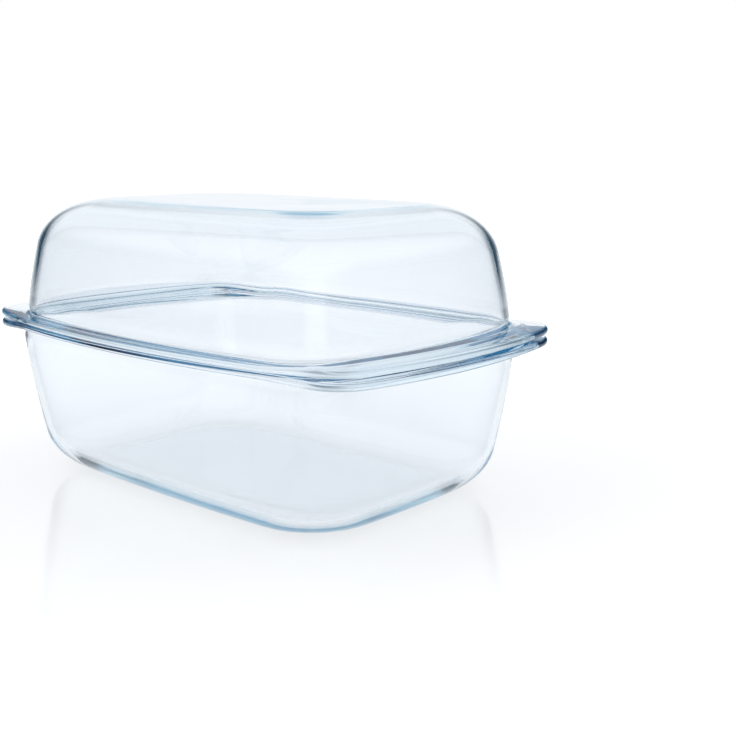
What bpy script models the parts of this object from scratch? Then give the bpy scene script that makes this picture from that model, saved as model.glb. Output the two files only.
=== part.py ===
"""Covered casserole dish: a deep rectangular roasting dish of clear glass under a tall domed lid.

Units are metres, +Z is up and +X runs along the length. The origin is the centre of the dish's base,
on the surface that it stands on. The lid rests loose on the dish's rim and lifts straight up.
"""
import math

import bmesh
import bpy

MM = 0.001

# ---- Overall size -------------------------------------------------------------------------------
LENGTH = 380 * MM  # over the two end handles
WIDTH = 249 * MM  # over the long rims
RIM_HEIGHT = 110 * MM  # from the table to the seat that the lid rests on
DOME_HEIGHT = 86 * MM  # from the lid's seat to its flat top
SEAT_GAP = 0.3 * MM  # the lid's seat above the dish's seat

# ---- Rims and handles ---------------------------------------------------------------------------
# Each rim is a flat shelf: narrow along the long sides, and wide enough for fingers at the ends.
RIM_SIDE_RADIUS = 800 * MM  # bow of the long edges
RIM_END_RADIUS = 400 * MM  # bow of the handle edges
RIM_CORNER_RADIUS = 30 * MM
RIM_THICKNESS = 3.9 * MM  # along the long sides
HANDLE_THICKNESS = 5.2 * MM  # at the ends
HANDLE_SETBACK = 0.9 * MM  # each handle leaves its seat's plane, which parts the two handles
HANDLE_START = 116 * MM  # distance from the middle where the rim begins to thicken
HANDLE_FULL = 165 * MM  # distance from the middle where the handle has its full section
EDGE_ROUND = 2.2 * MM  # depth of the rounding along each rim's outer edge
SEAT_LAND = 2.0 * MM  # flat seat beyond the dish's outer wall line
SHELF_STEP = 0.28  # part of the shelf's width over which a handle leaves the seat

# ---- Dish ---------------------------------------------------------------------------------------
DISH_HALF_LENGTH = 167.5 * MM  # outer wall line at the rim
DISH_HALF_WIDTH = 118 * MM
DISH_WALL = 4.6 * MM
DISH_BASE = 6.0 * MM
DISH_DRAFT = math.radians(9)
DISH_BOTTOM_RADIUS = 34 * MM  # between wall and base, outside
DISH_RIM_CORNER = 31 * MM  # plan radius of the corners at the rim
DISH_BASE_CORNER = 46 * MM  # plan radius of the corners at the base

# ---- Lid ----------------------------------------------------------------------------------------
LID_HALF_LENGTH = 165.5 * MM
LID_HALF_WIDTH = 114.5 * MM
LID_WALL = 4.4 * MM
LID_TOP = 4.8 * MM
LID_DRAFT = math.radians(12)
LID_SHOULDER_RADIUS = 40 * MM
LID_RIM_CORNER = 32 * MM
LID_TOP_CORNER = 38 * MM
SKIRT_DEPTH = 2.5 * MM  # locating lip that drops into the dish's mouth
SKIRT_CLEARANCE = 1.2 * MM
SKIRT_TAPER = 0.4 * MM
SKIRT_CHAMFER = 0.5 * MM
SKIRT_ROOT = 9 * MM  # height above the seat where the inner face turns straight down to the lip

# ---- Shared by both walls -----------------------------------------------------------------------
WALL_SIDE_RADIUS = 794 * MM
WALL_END_RADIUS = 310 * MM
WALL_FLATTENING = 2.4  # how much the bowed walls straighten away from the rim
ROOT_FILLET = 2.8 * MM  # between wall and shelf
ROOT_ROOM = 4.5 * MM  # plain wall left beyond the handle for the fillet to land on
MOUTH_ROUND = 1.4 * MM
MOUTH_MIDDLE = 0.4 * MM  # setback of the rounding's middle from both faces

# ---- Mesh fineness ------------------------------------------------------------------------------
HALF_SIDE_STEPS = 3
CORNER_STEPS = 7
BIG_FILLET_STEPS = 6
WALL_STEPS = 2
EDGE_STEPS = 4
ROOT_STEPS = 2
SHARP_ANGLE = math.radians(50)


def plan(half_length, half_width, side_radius, end_radius, corner_radius):
    """Points round a rectangle whose sides are shallow arcs, joined by corner arcs without a kink."""
    side_y = half_width - side_radius
    end_x = half_length - end_radius
    # The corner's centre lies at a known distance from the centres of both side arcs.
    from_side = side_radius - corner_radius
    from_end = end_radius - corner_radius
    apart = math.hypot(end_x, side_y)
    along = (from_side ** 2 - from_end ** 2 + apart ** 2) / (2 * apart)
    across = math.sqrt(from_side ** 2 - along ** 2)
    unit_x = end_x / apart
    unit_y = -side_y / apart
    corner_x = along * unit_x + across * unit_y
    corner_y = side_y + along * unit_y - across * unit_x
    if corner_y < 0:
        corner_x = along * unit_x - across * unit_y
        corner_y = side_y + along * unit_y + across * unit_x
    side_angle = math.atan2(corner_y - side_y, corner_x)
    end_angle = math.atan2(corner_y, corner_x - end_x)

    def arc(x, y, radius, first, last, steps):
        angles = [first + (last - first) * i / steps for i in range(steps)]
        return [(x + radius * math.cos(a), y + radius * math.sin(a)) for a in angles]

    quarter = arc(end_x, 0, end_radius, 0, end_angle, HALF_SIDE_STEPS)
    quarter += arc(corner_x, corner_y, corner_radius, end_angle, side_angle, CORNER_STEPS)
    quarter += arc(0, side_y, side_radius, side_angle, math.pi / 2, HALF_SIDE_STEPS)
    half = quarter + [(0, half_width)] + [(-x, y) for x, y in reversed(quarter[1:])]
    return half + [(-x, -y) for x, y in half]


def level(points, height):
    """A plan outline as a flat ring at one height."""
    return [(x, y, height) for x, y in points]


def handle_share(x):
    """0 along the long sides, rising smoothly to 1 at the end handles."""
    t = (abs(x) - HANDLE_START) / (HANDLE_FULL - HANDLE_START)
    t = min(max(t, 0), 1)
    return t * t * (3 - 2 * t)


def between(ring_a, ring_b, share):
    """The ring that lies a share of the way from ring_a to ring_b."""
    return [tuple(p + (q - p) * share for p, q in zip(a, b)) for a, b in zip(ring_a, ring_b)]


def wall_profile(depth, draft, radius, start):
    """Distance from the seat and inset of a drafted wall that turns through a fillet to a flat end.

    It runs from the far end, where the wall is flat, back to the distance start.
    """
    tangent = depth - radius + radius * math.sin(draft)
    inset_there = tangent * math.tan(draft)
    profile = []
    for i in range(BIG_FILLET_STEPS + 1):
        angle = math.pi / 2 + (draft - math.pi / 2) * i / BIG_FILLET_STEPS
        distance = depth - radius + radius * math.sin(angle)
        profile.append((distance, inset_there + radius * (math.cos(draft) - math.cos(angle))))
    for i in range(1, WALL_STEPS + 1):
        distance = tangent + (start - tangent) * i / WALL_STEPS
        profile.append((distance, distance * math.tan(draft)))
    return profile


class Wall:
    """One face of a drafted wall, as a plan outline that shrinks away from the rim."""

    def __init__(self, half_length, half_width, rim_corner, far_corner, depth):
        self.half_length = half_length
        self.half_width = half_width
        self.rim_corner = rim_corner
        self.far_corner = far_corner
        self.depth = depth

    def ring(self, distance, inset):
        """The outline at a distance from the rim, drawn in by an inset, and straighter further away."""
        share = min(max(distance / self.depth, 0), 1)
        straighten = 1 + (WALL_FLATTENING - 1) * share
        corner = self.rim_corner + (self.far_corner - self.rim_corner) * share
        return plan(
            self.half_length - inset,
            self.half_width - inset,
            WALL_SIDE_RADIUS * straighten,
            WALL_END_RADIUS * straighten,
            corner,
        )


def shelf_rings(wall, root, seat_ring, up):
    """Rings round a rim's shelf, from the wall's root over the outer edge to the seat.

    up is 1 for the lid, whose shelf stands above its seat, and -1 for the dish.
    """
    seat_height = seat_ring[0][2]

    def outer_face(points):
        rise = HANDLE_THICKNESS + HANDLE_SETBACK - RIM_THICKNESS
        return [(x, y, seat_height + up * (RIM_THICKNESS + rise * handle_share(x))) for x, y in points]

    def inner_face(points):
        return [(x, y, seat_height + up * HANDLE_SETBACK * handle_share(x)) for x, y in points]

    def rim_plan(inset):
        corner = RIM_CORNER_RADIUS - inset
        return plan(LENGTH / 2 - inset, WIDTH / 2 - inset, RIM_SIDE_RADIUS, RIM_END_RADIUS, corner)

    rings = []
    # The fillet turns from the wall's direction to the shelf's.
    for i in range(ROOT_STEPS + 1):
        angle = math.pi / 2 * i / ROOT_STEPS
        outward = ROOT_FILLET * (1 - math.cos(angle))
        rise = up * ROOT_FILLET * (1 - math.sin(angle))
        face = outer_face(wall.ring(0, root - outward))
        rings.append([(x, y, z + rise) for x, y, z in face])
    # The edge is rounded from the outer face to the seat's side.
    for i in range(EDGE_STEPS + 1):
        angle = math.pi * i / EDGE_STEPS
        points = rim_plan(EDGE_ROUND * (1 - math.sin(angle)))
        share = (1 - math.cos(angle)) / 2
        rings.append(between(outer_face(points), inner_face(points), share))
    step_ring = between(seat_ring, rings[-1], SHELF_STEP)
    rings.append(inner_face([(x, y) for x, y, z in step_ring]))
    rings.append(seat_ring)
    return rings


def dish_rings():
    """The dish's section from the base's underside, up and over the rim, down to the inner base."""
    outer = Wall(DISH_HALF_LENGTH, DISH_HALF_WIDTH, DISH_RIM_CORNER, DISH_BASE_CORNER, RIM_HEIGHT)
    root = (RIM_THICKNESS + ROOT_FILLET) * math.tan(DISH_DRAFT)
    start = HANDLE_THICKNESS + HANDLE_SETBACK + ROOT_ROOM
    rings = []
    for distance, inset in wall_profile(RIM_HEIGHT, DISH_DRAFT, DISH_BOTTOM_RADIUS, start):
        rings.append(level(outer.ring(distance, inset), RIM_HEIGHT - distance))
    rings += shelf_rings(outer, root, level(outer.ring(0, -SEAT_LAND), RIM_HEIGHT), -1)

    inner = Wall(
        DISH_HALF_LENGTH - DISH_WALL,
        DISH_HALF_WIDTH - DISH_WALL,
        DISH_RIM_CORNER - DISH_WALL,
        DISH_BASE_CORNER - DISH_WALL,
        RIM_HEIGHT - DISH_BASE,
    )
    rings.append(level(inner.ring(0, -MOUTH_ROUND), RIM_HEIGHT))
    rings.append(level(inner.ring(0, -MOUTH_MIDDLE), RIM_HEIGHT - MOUTH_MIDDLE))
    inner_radius = DISH_BOTTOM_RADIUS - DISH_WALL
    inner_depth = RIM_HEIGHT - DISH_BASE
    for distance, inset in reversed(wall_profile(inner_depth, DISH_DRAFT, inner_radius, MOUTH_ROUND)):
        rings.append(level(inner.ring(distance, inset), RIM_HEIGHT - distance))
    return rings


def lid_rings():
    """The lid's section from its top, down and round the rim, up to the underside of the top."""
    seat = RIM_HEIGHT + SEAT_GAP
    outer = Wall(LID_HALF_LENGTH, LID_HALF_WIDTH, LID_RIM_CORNER, LID_TOP_CORNER, DOME_HEIGHT)
    root = (RIM_THICKNESS + ROOT_FILLET) * math.tan(LID_DRAFT)
    start = HANDLE_THICKNESS + HANDLE_SETBACK + ROOT_ROOM
    rings = []
    for distance, inset in wall_profile(DOME_HEIGHT, LID_DRAFT, LID_SHOULDER_RADIUS, start):
        rings.append(level(outer.ring(distance, inset), seat + distance))
    mouth = Wall(
        DISH_HALF_LENGTH - DISH_WALL - SKIRT_CLEARANCE,
        DISH_HALF_WIDTH - DISH_WALL - SKIRT_CLEARANCE,
        DISH_RIM_CORNER - DISH_WALL - SKIRT_CLEARANCE,
        DISH_BASE_CORNER,
        RIM_HEIGHT,
    )
    dish_line = Wall(DISH_HALF_LENGTH, DISH_HALF_WIDTH, DISH_RIM_CORNER, DISH_BASE_CORNER, RIM_HEIGHT)
    rings += shelf_rings(outer, root, level(dish_line.ring(0, -SEAT_LAND), seat), 1)
    lip_end = seat - SKIRT_DEPTH
    rings.append(level(mouth.ring(0, 0), seat))
    rings.append(level(mouth.ring(0, SKIRT_TAPER), lip_end + SKIRT_CHAMFER))
    rings.append(level(mouth.ring(0, SKIRT_TAPER + SKIRT_CHAMFER), lip_end))

    inner = Wall(
        LID_HALF_LENGTH - LID_WALL,
        LID_HALF_WIDTH - LID_WALL,
        LID_RIM_CORNER - LID_WALL,
        LID_TOP_CORNER - LID_WALL,
        DOME_HEIGHT - LID_TOP,
    )
    rings.append(level(inner.ring(0, SKIRT_ROOT * math.tan(LID_DRAFT)), lip_end + SKIRT_CHAMFER))
    inner_radius = LID_SHOULDER_RADIUS - LID_WALL
    inner_height = DOME_HEIGHT - LID_TOP
    for distance, inset in reversed(wall_profile(inner_height, LID_DRAFT, inner_radius, SKIRT_ROOT)):
        rings.append(level(inner.ring(distance, inset), seat + distance))
    return rings


def glass(name, colour):
    """Clear pressed glass with a faint cold tint."""
    material = bpy.data.materials.new(name)
    material.use_nodes = True
    shader = material.node_tree.nodes["Principled BSDF"]
    shader.inputs["Base Color"].default_value = colour
    shader.inputs["Roughness"].default_value = 0.02
    shader.inputs["Metallic"].default_value = 0.0
    shader.inputs["IOR"].default_value = 1.47
    shader.inputs["Transmission Weight"].default_value = 1.0
    return material


def loft(name, rings, material):
    """A closed body through the rings, with the first and last ring filled in."""
    mesh = bpy.data.meshes.new(name)
    shape = bmesh.new()
    loops = [[shape.verts.new(point) for point in ring] for ring in rings]
    count = len(loops[0])
    for lower, upper in zip(loops, loops[1:]):
        for i in range(count):
            j = (i + 1) % count
            shape.faces.new((lower[i], lower[j], upper[j], upper[i]))
    shape.faces.new(loops[0])
    shape.faces.new(loops[-1])
    bmesh.ops.recalc_face_normals(shape, faces=shape.faces)
    shape.to_mesh(mesh)
    shape.free()
    mesh.shade_smooth()
    mesh.set_sharp_from_angle(angle=SHARP_ANGLE)
    mesh.materials.append(material)
    piece = bpy.data.objects.new(name, mesh)
    bpy.context.collection.objects.link(piece)
    return piece


def main():
    for old in list(bpy.data.objects):
        bpy.data.objects.remove(old, do_unlink=True)
    loft("dish", dish_rings(), glass("dish_glass", (0.86, 0.93, 0.96, 1)))
    lid = loft("lid", lid_rings(), glass("lid_glass", (0.88, 0.94, 0.97, 1)))
    # The lid's origin lies on the line that it lifts along, at its seat.
    seat = RIM_HEIGHT + SEAT_GAP
    for vertex in lid.data.vertices:
        vertex.co.z -= seat
    lid.location.z = seat


main()
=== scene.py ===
"""Look of the covered casserole dish: clear pressed glass, with smooth curved walls, rims and handles.

Units are metres. The row frame has +Z up, +X along the length and its origin at the centre of the
dish's base. Each glass piece is one smooth closed body that stands for the faceted CAD body.
"""
import math

import bpy
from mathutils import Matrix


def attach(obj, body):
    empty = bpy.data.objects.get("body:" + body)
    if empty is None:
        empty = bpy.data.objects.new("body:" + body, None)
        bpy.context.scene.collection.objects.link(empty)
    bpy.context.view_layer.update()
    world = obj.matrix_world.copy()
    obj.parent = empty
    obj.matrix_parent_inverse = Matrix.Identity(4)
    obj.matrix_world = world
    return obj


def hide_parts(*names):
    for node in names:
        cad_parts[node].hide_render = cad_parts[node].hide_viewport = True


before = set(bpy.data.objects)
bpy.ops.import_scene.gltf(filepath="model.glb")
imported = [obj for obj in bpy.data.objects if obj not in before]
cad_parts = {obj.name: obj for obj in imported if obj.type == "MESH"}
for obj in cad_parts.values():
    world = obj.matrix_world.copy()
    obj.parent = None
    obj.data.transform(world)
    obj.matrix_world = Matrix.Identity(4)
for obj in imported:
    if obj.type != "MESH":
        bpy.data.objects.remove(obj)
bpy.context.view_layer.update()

MM = 0.001

# ---- Sizes, as in the CAD -----------------------------------------------------------------------
LENGTH = 380 * MM
WIDTH = 249 * MM
RIM_HEIGHT = 110 * MM
DOME_HEIGHT = 86 * MM
SEAT_GAP = 0.3 * MM

RIM_SIDE_RADIUS = 800 * MM
RIM_END_RADIUS = 400 * MM
RIM_CORNER_RADIUS = 30 * MM
RIM_THICKNESS = 3.9 * MM
HANDLE_THICKNESS = 5.2 * MM
HANDLE_SETBACK = 0.9 * MM
HANDLE_START = 116 * MM
HANDLE_FULL = 165 * MM
EDGE_ROUND = 2.2 * MM
SEAT_LAND = 2.0 * MM
SHELF_STEP = 0.28

DISH_HALF_LENGTH = 167.5 * MM
DISH_HALF_WIDTH = 118 * MM
DISH_WALL = 4.6 * MM
DISH_BASE = 6.0 * MM
DISH_DRAFT = math.radians(9)
DISH_BOTTOM_RADIUS = 34 * MM
DISH_RIM_CORNER = 31 * MM
DISH_BASE_CORNER = 46 * MM

LID_HALF_LENGTH = 165.5 * MM
LID_HALF_WIDTH = 114.5 * MM
LID_WALL = 4.4 * MM
LID_TOP = 4.8 * MM
LID_DRAFT = math.radians(12)
LID_SHOULDER_RADIUS = 40 * MM
LID_RIM_CORNER = 32 * MM
LID_TOP_CORNER = 38 * MM
SKIRT_DEPTH = 2.5 * MM
SKIRT_CLEARANCE = 1.2 * MM
SKIRT_TAPER = 0.4 * MM
SKIRT_CHAMFER = 0.5 * MM
SKIRT_ROOT = 9 * MM

WALL_SIDE_RADIUS = 794 * MM
WALL_END_RADIUS = 310 * MM
WALL_FLATTENING = 2.4
ROOT_FILLET = 2.8 * MM
ROOT_ROOM = 4.5 * MM
MOUTH_ROUND = 1.4 * MM

# ---- Smoothness, beyond the CAD -----------------------------------------------------------------
# Outlines are averaged over this much of their length to either side,
CORNER_EASE = 8 * MM
# and edges look sharp only where the surface turns by more than this.
SHARP_ANGLE = math.radians(40)

# ---- Fineness of the smooth surfaces ------------------------------------------------------------
SIDE_STEPS = 22
END_STEPS = 12
CORNER_STEPS = 20
BIG_FILLET_STEPS = 16
WALL_STEPS = 6
EDGE_STEPS = 12
ROOT_STEPS = 8
MOUTH_STEPS = 5
STEP_STEPS = 4
EASE_STEPS = 5
CROWDING = 1.5


# =================================================================================================
# Glass bodies
# =================================================================================================
def plan(half_length, half_width, side_radius, end_radius, corner_radius):
    """Points round a rectangle whose sides are shallow arcs that ease into round corners.

    A corner's centre lies where a circle round the side arc's centre meets one round the end arc's,
    each smaller than its arc by the corner's radius.
    """
    side_y = half_width - side_radius
    end_x = half_length - end_radius
    from_side = side_radius - corner_radius
    from_end = end_radius - corner_radius
    apart = math.hypot(end_x, side_y)
    along = (from_side ** 2 - from_end ** 2 + apart ** 2) / (2 * apart)
    across = math.sqrt(from_side ** 2 - along ** 2)
    unit_x = end_x / apart
    unit_y = -side_y / apart
    corner_x = along * unit_x + across * unit_y
    corner_y = side_y + along * unit_y - across * unit_x
    side_angle = math.atan2(corner_y - side_y, corner_x)
    end_angle = math.atan2(corner_y, corner_x - end_x)
    end_length = end_radius * end_angle
    corner_length = corner_radius * (side_angle - end_angle)
    side_length = side_radius * (math.pi / 2 - side_angle)
    total = end_length + corner_length + side_length

    def at(s):
        """The point at arc length s, counted from the middle of the +X end."""
        if s < 0:
            x, y = at(-s)
            return x, -y
        if s > total:
            x, y = at(2 * total - s)
            return -x, y
        if s < end_length:
            x, y, radius, angle = end_x, 0.0, end_radius, s / end_radius
        elif s < end_length + corner_length:
            angle = end_angle + (s - end_length) / corner_radius
            x, y, radius = corner_x, corner_y, corner_radius
        else:
            angle = math.pi / 2 - (total - s) / side_radius
            x, y, radius = 0.0, side_y, side_radius
        return x + radius * math.cos(angle), y + radius * math.sin(angle)

    def eased(s):
        """The point at s, averaged over a short way so that the arcs run into each other."""
        near = [at(s + CORNER_EASE * k / EASE_STEPS) for k in range(-EASE_STEPS, EASE_STEPS + 1)]
        return sum(x for x, y in near) / len(near), sum(y for x, y in near) / len(near)

    # The stops crowd together towards the corner, from both the end and the side.
    stops = [end_length * (1 - (1 - i / END_STEPS) ** CROWDING) for i in range(END_STEPS)]
    stops += [end_length + corner_length * i / CORNER_STEPS for i in range(CORNER_STEPS)]
    stops += [total - side_length * (1 - (i / SIDE_STEPS) ** CROWDING) for i in range(SIDE_STEPS)]
    quarter = [eased(s) for s in stops]
    half = quarter + [eased(total)] + [(-x, y) for x, y in reversed(quarter[1:])]
    return half + [(-x, -y) for x, y in half]


def level(points, height):
    """A plan outline as a flat ring at one height."""
    return [(x, y, height) for x, y in points]


def between(ring_a, ring_b, share):
    """The ring that lies a share of the way from ring_a to ring_b."""
    return [tuple(p + (q - p) * share for p, q in zip(a, b)) for a, b in zip(ring_a, ring_b)]


def smooth(t):
    """A smooth step that is 0 up to t = 0 and 1 from t = 1."""
    t = min(max(t, 0), 1)
    return t * t * (3 - 2 * t)


def handle_share(x):
    """0 along the long sides, rising smoothly to 1 at the end handles."""
    return smooth((abs(x) - HANDLE_START) / (HANDLE_FULL - HANDLE_START))


def wall_profile(depth, draft, radius, start):
    """Distance from the seat and inset of a drafted wall, from its flat end back to the distance start."""
    tangent = depth - radius + radius * math.sin(draft)
    inset_there = tangent * math.tan(draft)
    profile = []
    for i in range(BIG_FILLET_STEPS + 1):
        angle = math.pi / 2 + (draft - math.pi / 2) * i / BIG_FILLET_STEPS
        distance = depth - radius + radius * math.sin(angle)
        profile.append((distance, inset_there + radius * (math.cos(draft) - math.cos(angle))))
    for i in range(1, WALL_STEPS + 1):
        distance = tangent + (start - tangent) * i / WALL_STEPS
        profile.append((distance, distance * math.tan(draft)))
    return profile


class Wall:
    """One face of a drafted wall, as a plan outline that shrinks away from the rim."""

    def __init__(self, half_length, half_width, rim_corner, far_corner, depth):
        self.half_length = half_length
        self.half_width = half_width
        self.rim_corner = rim_corner
        self.far_corner = far_corner
        self.depth = depth

    def ring(self, distance, inset):
        """The outline at a distance from the rim: the further, the straighter and rounder cornered."""
        share = distance / self.depth
        straighten = 1 + (WALL_FLATTENING - 1) * share
        corner = self.rim_corner + (self.far_corner - self.rim_corner) * share
        return plan(
            self.half_length - inset,
            self.half_width - inset,
            WALL_SIDE_RADIUS * straighten,
            WALL_END_RADIUS * straighten,
            corner,
        )


def shelf_rings(wall, root, draft, seat_ring, up):
    """Rings round a rim's shelf, from the wall's root over the outer edge to the seat.

    The shelf thickens upwards (up = 1, the lid) or downwards (up = -1, the dish) from the seat.
    """
    seat_height = seat_ring[0][2]

    def outer_face(points):
        """The face away from the seat, where the handles are thicker."""
        rise = HANDLE_THICKNESS + HANDLE_SETBACK - RIM_THICKNESS
        return [(x, y, seat_height + up * (RIM_THICKNESS + rise * handle_share(x))) for x, y in points]

    def inner_face(points, part=1.0):
        """The face on the seat's side, set back by a part of the handles' setback."""
        return [(x, y, seat_height + up * HANDLE_SETBACK * part * handle_share(x)) for x, y in points]

    def rim_plan(inset):
        corner = RIM_CORNER_RADIUS - inset
        return plan(LENGTH / 2 - inset, WIDTH / 2 - inset, RIM_SIDE_RADIUS, RIM_END_RADIUS, corner)

    rings = []
    for i in range(ROOT_STEPS + 1):
        angle = draft + (math.pi / 2 - draft) * i / ROOT_STEPS
        outward = ROOT_FILLET * (math.cos(draft) - math.cos(angle))
        rise = up * ROOT_FILLET * (1 - math.sin(angle))
        face = outer_face(wall.ring(0, root - outward))
        rings.append([(x, y, z + rise) for x, y, z in face])
    for i in range(EDGE_STEPS + 1):
        angle = math.pi * i / EDGE_STEPS
        points = rim_plan(EDGE_ROUND * (1 - math.sin(angle)))
        share = (1 - math.cos(angle)) / 2
        rings.append(between(outer_face(points), inner_face(points), share))
    rim_edge = rings[-1]
    for i in range(STEP_STEPS):
        share = SHELF_STEP * (1 - i / STEP_STEPS)
        step_ring = between(seat_ring, rim_edge, share)
        rings.append(inner_face([(x, y) for x, y, z in step_ring], smooth(share / SHELF_STEP)))
    rings.append(seat_ring)
    return rings


DISH_OUTSIDE = Wall(DISH_HALF_LENGTH, DISH_HALF_WIDTH, DISH_RIM_CORNER, DISH_BASE_CORNER, RIM_HEIGHT)
WALL_START = HANDLE_THICKNESS + HANDLE_SETBACK + ROOT_ROOM


def dish_rings():
    """The dish's section from the base's underside, up and over the rim, down to the inner base."""
    root = (RIM_THICKNESS + ROOT_FILLET) * math.tan(DISH_DRAFT)
    rings = []
    for distance, inset in wall_profile(RIM_HEIGHT, DISH_DRAFT, DISH_BOTTOM_RADIUS, WALL_START):
        rings.append(level(DISH_OUTSIDE.ring(distance, inset), RIM_HEIGHT - distance))
    seat_ring = level(DISH_OUTSIDE.ring(0, -SEAT_LAND), RIM_HEIGHT)
    rings += shelf_rings(DISH_OUTSIDE, root, DISH_DRAFT, seat_ring, -1)

    inner_depth = RIM_HEIGHT - DISH_BASE
    inner_radius = DISH_BOTTOM_RADIUS - DISH_WALL
    inner = Wall(
        DISH_HALF_LENGTH - DISH_WALL,
        DISH_HALF_WIDTH - DISH_WALL,
        DISH_RIM_CORNER - DISH_WALL,
        DISH_BASE_CORNER - DISH_WALL,
        inner_depth,
    )
    for i in range(MOUTH_STEPS):
        angle = math.pi / 2 * i / MOUTH_STEPS
        drop = MOUTH_ROUND * (1 - math.cos(angle))
        rings.append(level(inner.ring(0, MOUTH_ROUND * (math.sin(angle) - 1)), RIM_HEIGHT - drop))
    for distance, inset in reversed(wall_profile(inner_depth, DISH_DRAFT, inner_radius, MOUTH_ROUND)):
        rings.append(level(inner.ring(distance, inset), RIM_HEIGHT - distance))
    return rings


def lid_rings():
    """The lid's section from its top, down and round the rim, up to the underside of the top."""
    seat = RIM_HEIGHT + SEAT_GAP
    outer = Wall(LID_HALF_LENGTH, LID_HALF_WIDTH, LID_RIM_CORNER, LID_TOP_CORNER, DOME_HEIGHT)
    root = (RIM_THICKNESS + ROOT_FILLET) * math.tan(LID_DRAFT)
    rings = []
    for distance, inset in wall_profile(DOME_HEIGHT, LID_DRAFT, LID_SHOULDER_RADIUS, WALL_START):
        rings.append(level(outer.ring(distance, inset), seat + distance))
    seat_ring = level(DISH_OUTSIDE.ring(0, -SEAT_LAND), seat)
    rings += shelf_rings(outer, root, LID_DRAFT, seat_ring, 1)

    # The lip that drops into the dish's mouth.
    lip_end = seat - SKIRT_DEPTH
    mouth = Wall(
        DISH_HALF_LENGTH - DISH_WALL - SKIRT_CLEARANCE,
        DISH_HALF_WIDTH - DISH_WALL - SKIRT_CLEARANCE,
        DISH_RIM_CORNER - DISH_WALL - SKIRT_CLEARANCE,
        DISH_BASE_CORNER,
        RIM_HEIGHT,
    )
    rings.append(level(mouth.ring(0, 0), seat))
    rings.append(level(mouth.ring(0, SKIRT_TAPER), lip_end + SKIRT_CHAMFER))
    rings.append(level(mouth.ring(0, SKIRT_TAPER + SKIRT_CHAMFER), lip_end))

    inner_height = DOME_HEIGHT - LID_TOP
    inner_radius = LID_SHOULDER_RADIUS - LID_WALL
    inner = Wall(
        LID_HALF_LENGTH - LID_WALL,
        LID_HALF_WIDTH - LID_WALL,
        LID_RIM_CORNER - LID_WALL,
        LID_TOP_CORNER - LID_WALL,
        inner_height,
    )
    rings.append(level(inner.ring(0, SKIRT_ROOT * math.tan(LID_DRAFT)), lip_end + SKIRT_CHAMFER))
    for distance, inset in reversed(wall_profile(inner_height, LID_DRAFT, inner_radius, SKIRT_ROOT)):
        rings.append(level(inner.ring(distance, inset), seat + distance))
    return rings


def loft(name, rings, material):
    """A closed smooth body through the rings, with the first and last ring filled in."""
    count = len(rings[0])
    points = [point for ring in rings for point in ring]
    faces = []
    for k in range(len(rings) - 1):
        for i in range(count):
            j = (i + 1) % count
            a = k * count
            b = a + count
            faces.append((a + i, b + i, b + j, a + j))
    faces.append(tuple(range(count)))
    faces.append(tuple(reversed(range(len(points) - count, len(points)))))
    mesh = bpy.data.meshes.new(name)
    mesh.from_pydata(points, [], faces)
    mesh.update()
    if signed_volume(mesh) < 0:
        mesh.flip_normals()
    mesh.shade_smooth()
    mesh.set_sharp_from_angle(angle=SHARP_ANGLE)
    mesh.materials.append(material)
    piece = bpy.data.objects.new(name, mesh)
    bpy.context.scene.collection.objects.link(piece)
    return piece


def signed_volume(mesh):
    """Positive when the faces look outwards."""
    total = 0.0
    for face in mesh.polygons:
        total += face.center.dot(face.normal) * face.area
    return total / 3


# =================================================================================================
# Shader nodes
# =================================================================================================
WHITE = (1.0, 1.0, 1.0, 1.0)


def math_node(tree, operation, *values):
    """The result of a Math node, fed with numbers and other nodes' outputs."""
    node = tree.nodes.new("ShaderNodeMath")
    node.operation = operation
    for socket, value in zip(node.inputs, values):
        if isinstance(value, float):
            socket.default_value = value
        else:
            tree.links.new(value, socket)
    return node.outputs["Value"]


def ramp(tree, value, low, high, out_low=0.0, out_high=1.0, shape="SMOOTHSTEP"):
    """A value that runs from out_low to out_high while the given one runs from low to high."""
    node = tree.nodes.new("ShaderNodeMapRange")
    node.interpolation_type = shape
    node.inputs["From Min"].default_value = low
    node.inputs["From Max"].default_value = high
    node.inputs["To Min"].default_value = out_low
    node.inputs["To Max"].default_value = out_high
    tree.links.new(value, node.inputs["Value"])
    return node.outputs["Result"]


def noise(tree, scale, detail):
    """Noise over the piece's own coordinates."""
    coordinates = tree.nodes.new("ShaderNodeTexCoord")
    node = tree.nodes.new("ShaderNodeTexNoise")
    node.inputs["Scale"].default_value = scale
    node.inputs["Detail"].default_value = detail
    tree.links.new(coordinates.outputs["Object"], node.inputs["Vector"])
    return node.outputs["Fac"]


# =================================================================================================
# Glass
# =================================================================================================
GLASS_IOR = 1.47
GLASS_TINT = (0.968, 0.976, 0.997, 1.0)
GLASS_TINT_DRIFT = 1.01
GLASS_ABSORPTION = (0.02, 0.52, 0.71, 1.0)
GLASS_DENSITY = 6.0

RIPPLE_SCALE = 16.0
RIPPLE_DETAIL = 1.0
RIPPLE_STRENGTH = 0.08
RIPPLE_DEPTH = 1.2 * MM

SMEAR_SCALE = 34.0
SMEAR_DETAIL = 4.0
SMEAR_START = 0.45
SMEAR_END = 0.75
SMEAR_ROUGHNESS = 0.03


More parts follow.
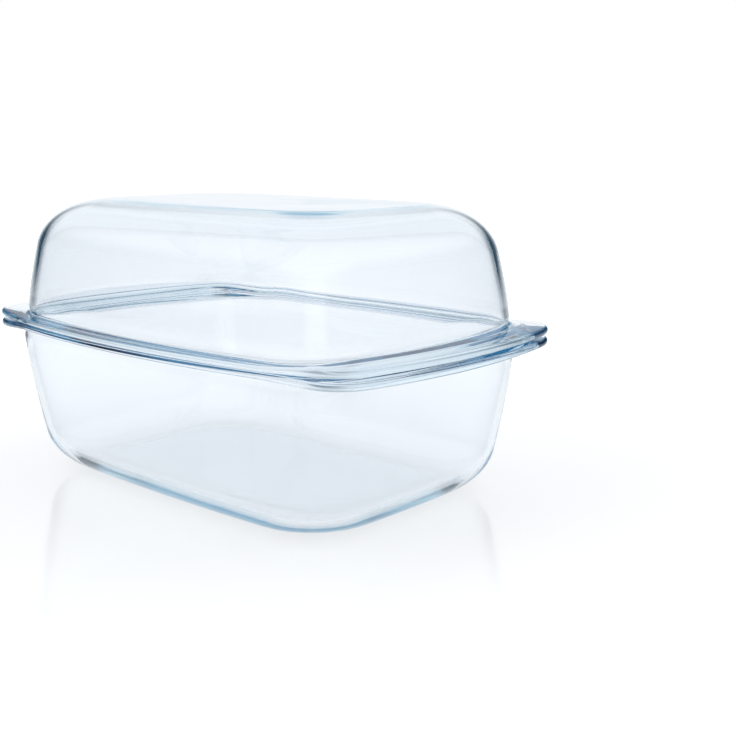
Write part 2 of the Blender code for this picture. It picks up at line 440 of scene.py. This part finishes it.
def glass(name):
    """Clear pressed glass that turns blue-green where the light goes a long way through it."""
    material = bpy.data.materials.new(name)
    material.use_nodes = True
    tree = material.node_tree
    nodes = tree.nodes
    links = tree.links
    shader = nodes["Principled BSDF"]
    shader.inputs["Transmission Weight"].default_value = 1.0
    shader.inputs["IOR"].default_value = GLASS_IOR
    shader.inputs["Metallic"].default_value = 0.0

    # Slow ripples left by the press mould.
    ripples = noise(tree, RIPPLE_SCALE, RIPPLE_DETAIL)
    bump = nodes.new("ShaderNodeBump")
    bump.inputs["Strength"].default_value = RIPPLE_STRENGTH
    bump.inputs["Distance"].default_value = RIPPLE_DEPTH
    links.new(ripples, bump.inputs["Height"])
    links.new(bump.outputs["Normal"], shader.inputs["Normal"])

    # Faint smears from handling.
    smears = noise(tree, SMEAR_SCALE, SMEAR_DETAIL)
    roughness = ramp(tree, smears, SMEAR_START, SMEAR_END, 0.0, SMEAR_ROUGHNESS, "LINEAR")
    links.new(roughness, shader.inputs["Roughness"])

    # The tint drifts a little through the melt.
    drift = nodes.new("ShaderNodeMix")
    drift.data_type = "RGBA"
    drift.inputs["A"].default_value = GLASS_TINT
    drift.inputs["B"].default_value = tuple(min(c * GLASS_TINT_DRIFT, 1.0) for c in GLASS_TINT)
    links.new(ripples, drift.inputs["Factor"])
    links.new(drift.outputs["Result"], shader.inputs["Base Color"])

    depth = nodes.new("ShaderNodeVolumeAbsorption")
    depth.inputs["Color"].default_value = GLASS_ABSORPTION
    depth.inputs["Density"].default_value = GLASS_DENSITY
    links.new(depth.outputs["Volume"], nodes["Material Output"].inputs["Volume"])
    return material


dish_glass = glass("dish_glass")
lid_glass = glass("lid_glass")

dish = loft("dish_glass_body", dish_rings(), dish_glass)
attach(dish, "dish")
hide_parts("dish")

lid = loft("lid_glass_body", lid_rings(), lid_glass)
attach(lid, "lid")
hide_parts("lid")


# =================================================================================================
# Floor
# =================================================================================================
FLOOR_HALF = 30.0
FLOOR_DROP = 0.4 * MM
FLOOR_GLOW_NEAR = 0.68
FLOOR_GLOW_FAR = 0.80
FLOOR_GREY = (0.5, 0.5, 0.5, 1.0)
FLOOR_ROUGHNESS = 0.12
FLOOR_IOR = 1.6
FLOOR_FADE_START = 0.18
FLOOR_FADE_END = 0.50


def floor_material():
    """A pale glossy table top that brightens with distance and runs on into the white backdrop."""
    material = bpy.data.materials.new("studio_floor")
    material.use_nodes = True
    tree = material.node_tree
    nodes = tree.nodes
    links = tree.links
    nodes.remove(nodes["Principled BSDF"])
    place = nodes.new("ShaderNodeTexCoord")
    length = nodes.new("ShaderNodeVectorMath")
    length.operation = "LENGTH"
    links.new(place.outputs["Object"], length.inputs[0])
    distance = length.outputs["Value"]

    glow_strength = ramp(tree, distance, FLOOR_FADE_START, FLOOR_FADE_END, FLOOR_GLOW_NEAR, FLOOR_GLOW_FAR)
    glow = nodes.new("ShaderNodeEmission")
    glow.inputs["Color"].default_value = WHITE
    links.new(glow_strength, glow.inputs["Strength"])
    diffuse = nodes.new("ShaderNodeBsdfDiffuse")
    diffuse.inputs["Color"].default_value = FLOOR_GREY
    body = nodes.new("ShaderNodeAddShader")
    links.new(glow.outputs["Emission"], body.inputs[0])
    links.new(diffuse.outputs["BSDF"], body.inputs[1])

    gloss = nodes.new("ShaderNodeBsdfGlossy")
    gloss.inputs["Color"].default_value = WHITE
    gloss.inputs["Roughness"].default_value = FLOOR_ROUGHNESS
    fresnel = nodes.new("ShaderNodeFresnel")
    fresnel.inputs["IOR"].default_value = FLOOR_IOR
    # Seen directly, the shine fades out with distance so that floor and backdrop meet unseen.
    direct = nodes.new("ShaderNodeLightPath").outputs["Is Camera Ray"]
    faded = ramp(tree, distance, FLOOR_FADE_START, FLOOR_FADE_END)
    kept = math_node(tree, "SUBTRACT", 1.0, math_node(tree, "MULTIPLY", direct, faded))
    shine = math_node(tree, "MULTIPLY", fresnel.outputs["Fac"], kept)
    top = nodes.new("ShaderNodeMixShader")
    links.new(shine, top.inputs["Fac"])
    links.new(body.outputs["Shader"], top.inputs[1])
    links.new(gloss.outputs["BSDF"], top.inputs[2])

    # From underneath, the floor is clear, so that the base can be seen.
    clear = nodes.new("ShaderNodeBsdfTransparent")
    sided = nodes.new("ShaderNodeMixShader")
    links.new(nodes.new("ShaderNodeNewGeometry").outputs["Backfacing"], sided.inputs["Fac"])
    links.new(top.outputs["Shader"], sided.inputs[1])
    links.new(clear.outputs["BSDF"], sided.inputs[2])
    links.new(sided.outputs["Shader"], nodes["Material Output"].inputs["Surface"])
    return material


def make_floor():
    """One large square just under the dish's base."""
    mesh = bpy.data.meshes.new("studio_floor")
    half = FLOOR_HALF
    corners = [(-half, -half, 0), (half, -half, 0), (half, half, 0), (-half, half, 0)]
    mesh.from_pydata(corners, [], [(0, 1, 2, 3)])
    mesh.materials.append(floor_material())
    floor = bpy.data.objects.new("studio_floor", mesh)
    floor.location.z = -FLOOR_DROP
    bpy.context.scene.collection.objects.link(floor)
    return floor


make_floor()


# =================================================================================================
# Light
# =================================================================================================
# The lit stretches of the surroundings lie along a level axis, before and behind the dish, and
# overhead. The shade starts and is full at these cosines of the angle to the axis,
LIGHT_YAW = math.radians(47)
LIGHT_AXIS = (-math.sin(LIGHT_YAW), math.cos(LIGHT_YAW), 0.0)
SIDE_SHADE_START = 0.97
SIDE_SHADE_FULL = 0.86
# and at these of the angle to straight up. It is only as deep as both allow.
UPWARDS = (0.0, 0.0, 1.0)
LOW_SHADE_START = 0.50
LOW_SHADE_FULL = 0.20
LIT_COLOUR = (0.93, 0.957, 0.99, 1.0)
SHADE_COLOUR = (0.03, 0.07, 0.105, 1.0)


def make_world():
    """Soft studio light from above, before and behind, with cool shade to the sides.

    The glass shows the shade as its dark outlines. Seen directly, the backdrop is plain white.
    """
    world = bpy.data.worlds.new("studio")
    bpy.context.scene.world = world
    world.use_nodes = True
    tree = world.node_tree
    nodes = tree.nodes
    links = tree.links
    background = nodes["Background"]
    coordinates = nodes.new("ShaderNodeTexCoord")

    def towards(direction):
        """The cosine of the angle between a ray and the direction."""
        node = nodes.new("ShaderNodeVectorMath")
        node.operation = "DOT_PRODUCT"
        node.inputs[1].default_value = direction
        links.new(coordinates.outputs["Generated"], node.inputs[0])
        return node.outputs["Value"]

    facing = math_node(tree, "ABSOLUTE", towards(LIGHT_AXIS))
    side = ramp(tree, facing, SIDE_SHADE_START, SIDE_SHADE_FULL)
    low = ramp(tree, towards(UPWARDS), LOW_SHADE_START, LOW_SHADE_FULL)
    around = nodes.new("ShaderNodeMix")
    around.data_type = "RGBA"
    around.inputs["A"].default_value = LIT_COLOUR
    around.inputs["B"].default_value = SHADE_COLOUR
    links.new(math_node(tree, "MULTIPLY", side, low), around.inputs["Factor"])
    colour = nodes.new("ShaderNodeMix")
    colour.data_type = "RGBA"
    links.new(around.outputs["Result"], colour.inputs["A"])
    colour.inputs["B"].default_value = WHITE
    links.new(nodes.new("ShaderNodeLightPath").outputs["Is Camera Ray"], colour.inputs["Factor"])
    links.new(colour.outputs["Result"], background.inputs["Color"])
    background.inputs["Strength"].default_value = 1.0


make_world()


# =================================================================================================
# Camera
# =================================================================================================
CAMERA_PLACE = (0.5700, -0.5237, 0.2395)
CAMERA_TILT = math.radians(78.16)
CAMERA_TURN = math.radians(41.84)
CAMERA_LENS = 54.0
CAMERA_SENSOR = 36.0
# Light crosses many glass faces before it leaves the dish.
LIGHT_BOUNCES = 128

scene = bpy.context.scene
camera_data = bpy.data.cameras.new("camera")
camera_data.lens = CAMERA_LENS
camera_data.sensor_width = CAMERA_SENSOR
camera = bpy.data.objects.new("camera", camera_data)
camera.location = CAMERA_PLACE
camera.rotation_euler = (CAMERA_TILT, 0.0, CAMERA_TURN)
scene.collection.objects.link(camera)
scene.camera = camera
scene.view_settings.view_transform = "Standard"
scene.cycles.max_bounces = LIGHT_BOUNCES
scene.cycles.transmission_bounces = LIGHT_BOUNCES
scene.cycles.glossy_bounces = LIGHT_BOUNCES
